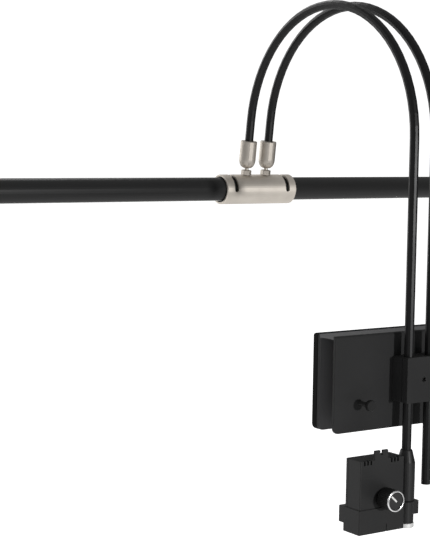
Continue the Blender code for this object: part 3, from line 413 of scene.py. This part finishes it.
def make_thumbscrew(side):
    """Knurled head on a threaded shank; the thread's crests are plain rings."""
    low, high = node_box(f"thumbscrew_{side}")
    middle = rear_middle(low, high)
    length, r = high.y - low.y, (high.x - low.x) / 2
    head, crest = length - THUMB_HEAD, THREAD_RADIUS
    profile = [(0, 0), (crest - 0.5 * MM, 0)]
    turns = int((head - 1.8 * MM) / THREAD_PITCH)
    for i in range(turns):
        profile += [(crest, (i + 0.4) * THREAD_PITCH), (crest, (i + 0.55) * THREAD_PITCH),
                    (crest - 0.35 * MM, (i + 0.95) * THREAD_PITCH)]
    knurled = len(profile) + 4  # the first ring at the head's full radius
    profile += [(crest, head - 1.5 * MM), (THUMB_NECK_RADIUS, head - 1.0 * MM),
                (THUMB_NECK_RADIUS, head), (r - 0.5 * MM, head), (r, head + 0.5 * MM),
                (r, length - 0.6 * MM), (r - 0.6 * MM, length), (0, length)]
    screw = turning(f"knurled_screw_{side}", middle, profile, OXIDE, segments=144,
                    lobes=KNURLS, depth=KNURL_DEPTH, lobed=(knurled, knurled + 1))
    stand_in(screw, f"screw_{side}", "screw_steel", f"thumbscrew_{side}")


def make_clamp_screw():
    """Flat head flush with the cap, with a six-lobed recess."""
    low, high = node_box("clamp_screw")
    middle = rear_middle(low, high)
    front = high.y - low.y + 0.05 * MM
    screw = turning("clamp_screw_head", middle,
                    [(0, 0), (2.5 * MM, 0), (2.5 * MM, front - 3.2 * MM),
                     (4.3 * MM, front - 1.2 * MM), (4.3 * MM, front - 0.1 * MM),
                     (4.2 * MM, front), (3.3 * MM, front),
                     (3.1 * MM, front - 3.0 * MM), (0, front - 3.1 * MM)],
                    POWDER, segments=96, lobes=RECESS_LOBES, depth=RECESS_DEPTH, lobed=(6, 7))
    stand_in(screw, "bracket", "screw_steel", "clamp_screw")


make_knob()
make_thumbscrew("left")
make_thumbscrew("right")
make_clamp_screw()
barrel_seam()
jack_collar()


# ---------------------------------------------------------------- studio
FLOOR_Z = -0.335  # clear of the dimmer with the arms right down
FLOOR_EMISSION = 0.75
# Radiance of the room, and what each part of it adds. Azimuths are in degrees, counted like the
# camera's, from straight in front. A spread holds the cosines of the angle to a light's middle
# where it starts and where it is full; a height is the upward part of a direction.
ROOM = 0.04
WHITE_WALL, WHITE_WALL_AZIMUTH, WHITE_WALL_SPREAD = 1.1, -166.0, (0.56, 0.77)
WHITE_WALL_FOOT = (-0.14, 0.0)  # heights between which it fades in
LEFT_FILL, LEFT_FILL_AZIMUTH, LEFT_FILL_SPREAD = 0.27, -95.0, (0.1, 0.8)
OVERHEAD, OVERHEAD_HEIGHTS = 0.4, (0.2, 0.75)
FLOOR_GLOW, FLOOR_HEIGHTS = 0.85, (-0.45, -0.15)  # seen in the object's undersides
BACKDROP = 1.1  # what the camera sees behind the object
KEY_AZIMUTH, KEY_DISTANCE = math.radians(10.0), 3.0
KEY_PLACE = (KEY_DISTANCE * math.sin(KEY_AZIMUTH), -KEY_DISTANCE * math.cos(KEY_AZIMUTH), 0.2)
LAMPS = (  # name, place, target, size in metres, power in watts
    ("key", KEY_PLACE, (0, 0, 0.1), (0.12, 0.12), 44.0),
    ("back_light", (0.5, 1.9, 1.7), (0, 0, 0.0), (1.2, 0.8), 8.0),
    ("rear_fill", (-0.7, 2.8, 0.6), (0, 0, 0.0), (1.6, 1.6), 14.0),
)
CAMERA_AZIMUTH, CAMERA_ELEVATION, CAMERA_ROLL = -34.07, 5.103, 0.822  # degrees
CAMERA_PLACE = (-0.95964, -1.08464, 0.18984)
CAMERA_LENS = 96.87  # mm, on a sensor 36 mm wide


def area_light(name, location, target, size, power):
    data = bpy.data.lights.new(name, "AREA")
    data.shape = "RECTANGLE"
    data.size, data.size_y = size
    data.energy = power
    lamp = bpy.data.objects.new(name, data)
    lamp.location = location
    aim = Vector(target) - Vector(location)
    lamp.rotation_euler = aim.to_track_quat("-Z", "Y").to_euler()
    bpy.context.scene.collection.objects.link(lamp)


def make_floor():
    """A pale floor lit from within, like the sweep of a light table."""
    bm = bmesh.new()
    bmesh.ops.create_grid(bm, x_segments=1, y_segments=1, size=12.0)
    mesh = bpy.data.meshes.new("studio_floor")
    bm.to_mesh(mesh)
    bm.free()
    floor = bpy.data.objects.new("studio_floor", mesh)
    floor.location = (0, 0, FLOOR_Z)
    bpy.context.scene.collection.objects.link(floor)
    material = plain_finish("studio_floor", (0.9, 0.9, 0.9), 0.75, scale=3.0, specular=0.1)
    shader = material.node_tree.nodes["Principled BSDF"]
    shader.inputs["Emission Color"].default_value = (1.0, 1.0, 1.0, 1.0)
    shader.inputs["Emission Strength"].default_value = FLOOR_EMISSION
    mesh.materials.append(material)
    floor.visible_diffuse = False
    floor.visible_glossy = False


def make_world():
    """A dim room with a white wall behind; behind the object the camera sees plain white."""
    world = bpy.data.worlds.new("studio")
    world.use_nodes = True
    tree = world.node_tree
    background = tree.nodes["Background"]
    coords = tree.nodes.new("ShaderNodeTexCoord")
    split = tree.nodes.new("ShaderNodeSeparateXYZ")
    tree.links.new(coords.outputs["Generated"], split.inputs["Vector"])

    def glow(azimuth, spread, strength):
        """Light from one side."""
        towards = tree.nodes.new("ShaderNodeVectorMath")
        towards.operation = "DOT_PRODUCT"
        turn = math.radians(azimuth)
        towards.inputs[1].default_value = (math.sin(turn), -math.cos(turn), 0.0)
        tree.links.new(coords.outputs["Generated"], towards.inputs[0])
        return span(tree, towards.outputs["Value"], *spread, 0.0, strength)

    def total(first, second):
        both = tree.nodes.new("ShaderNodeMath")
        tree.links.new(first, both.inputs[0])
        tree.links.new(second, both.inputs[1])
        return both.outputs["Value"]

    wall = tree.nodes.new("ShaderNodeMath")
    wall.operation = "MULTIPLY"
    tree.links.new(glow(WHITE_WALL_AZIMUTH, WHITE_WALL_SPREAD, WHITE_WALL), wall.inputs[0])
    height = split.outputs["Z"]
    tree.links.new(span(tree, height, *WHITE_WALL_FOOT, 0.0, 1.0), wall.inputs[1])
    floor = span(tree, height, *FLOOR_HEIGHTS, FLOOR_GLOW + ROOM, ROOM)
    room = total(total(wall.outputs["Value"], floor),
                 glow(LEFT_FILL_AZIMUTH, LEFT_FILL_SPREAD, LEFT_FILL))
    overhead = span(tree, height, *OVERHEAD_HEIGHTS, 0.0, 1.0)
    mixed = tree.nodes.new("ShaderNodeMix")
    mixed.inputs["B"].default_value = OVERHEAD
    tree.links.new(overhead, mixed.inputs["Factor"])
    tree.links.new(room, mixed.inputs["A"])
    paths = tree.nodes.new("ShaderNodeLightPath")
    seen = tree.nodes.new("ShaderNodeMix")
    seen.inputs["B"].default_value = BACKDROP
    tree.links.new(paths.outputs["Is Camera Ray"], seen.inputs["Factor"])
    tree.links.new(mixed.outputs["Result"], seen.inputs["A"])
    background.inputs["Color"].default_value = (1.0, 1.0, 1.0, 1.0)
    tree.links.new(seen.outputs["Result"], background.inputs["Strength"])
    bpy.context.scene.world = world
    bpy.context.scene.view_settings.view_transform = "Standard"


def make_camera():
    azimuth, elevation = math.radians(CAMERA_AZIMUTH), math.radians(CAMERA_ELEVATION)
    roll = math.radians(CAMERA_ROLL)
    back = Vector((math.sin(azimuth) * math.cos(elevation),
                   -math.cos(azimuth) * math.cos(elevation), math.sin(elevation)))
    right = Vector((0, 0, 1)).cross(back).normalized()
    up = back.cross(right)
    right, up = (math.cos(roll) * right + math.sin(roll) * up,
                 math.cos(roll) * up - math.sin(roll) * right)
    data = bpy.data.cameras.new("photo_camera")
    data.lens = CAMERA_LENS
    data.sensor_width = 36.0
    data.sensor_fit = "AUTO"
    data.clip_end = 60.0
    camera = bpy.data.objects.new("photo_camera", data)
    camera.matrix_world = Matrix((right, up, back)).transposed().to_4x4()
    camera.location = CAMERA_PLACE
    bpy.context.scene.collection.objects.link(camera)
    bpy.context.scene.camera = camera


make_floor()
make_world()
make_camera()
for lamp in LAMPS:
    area_light(*lamp)
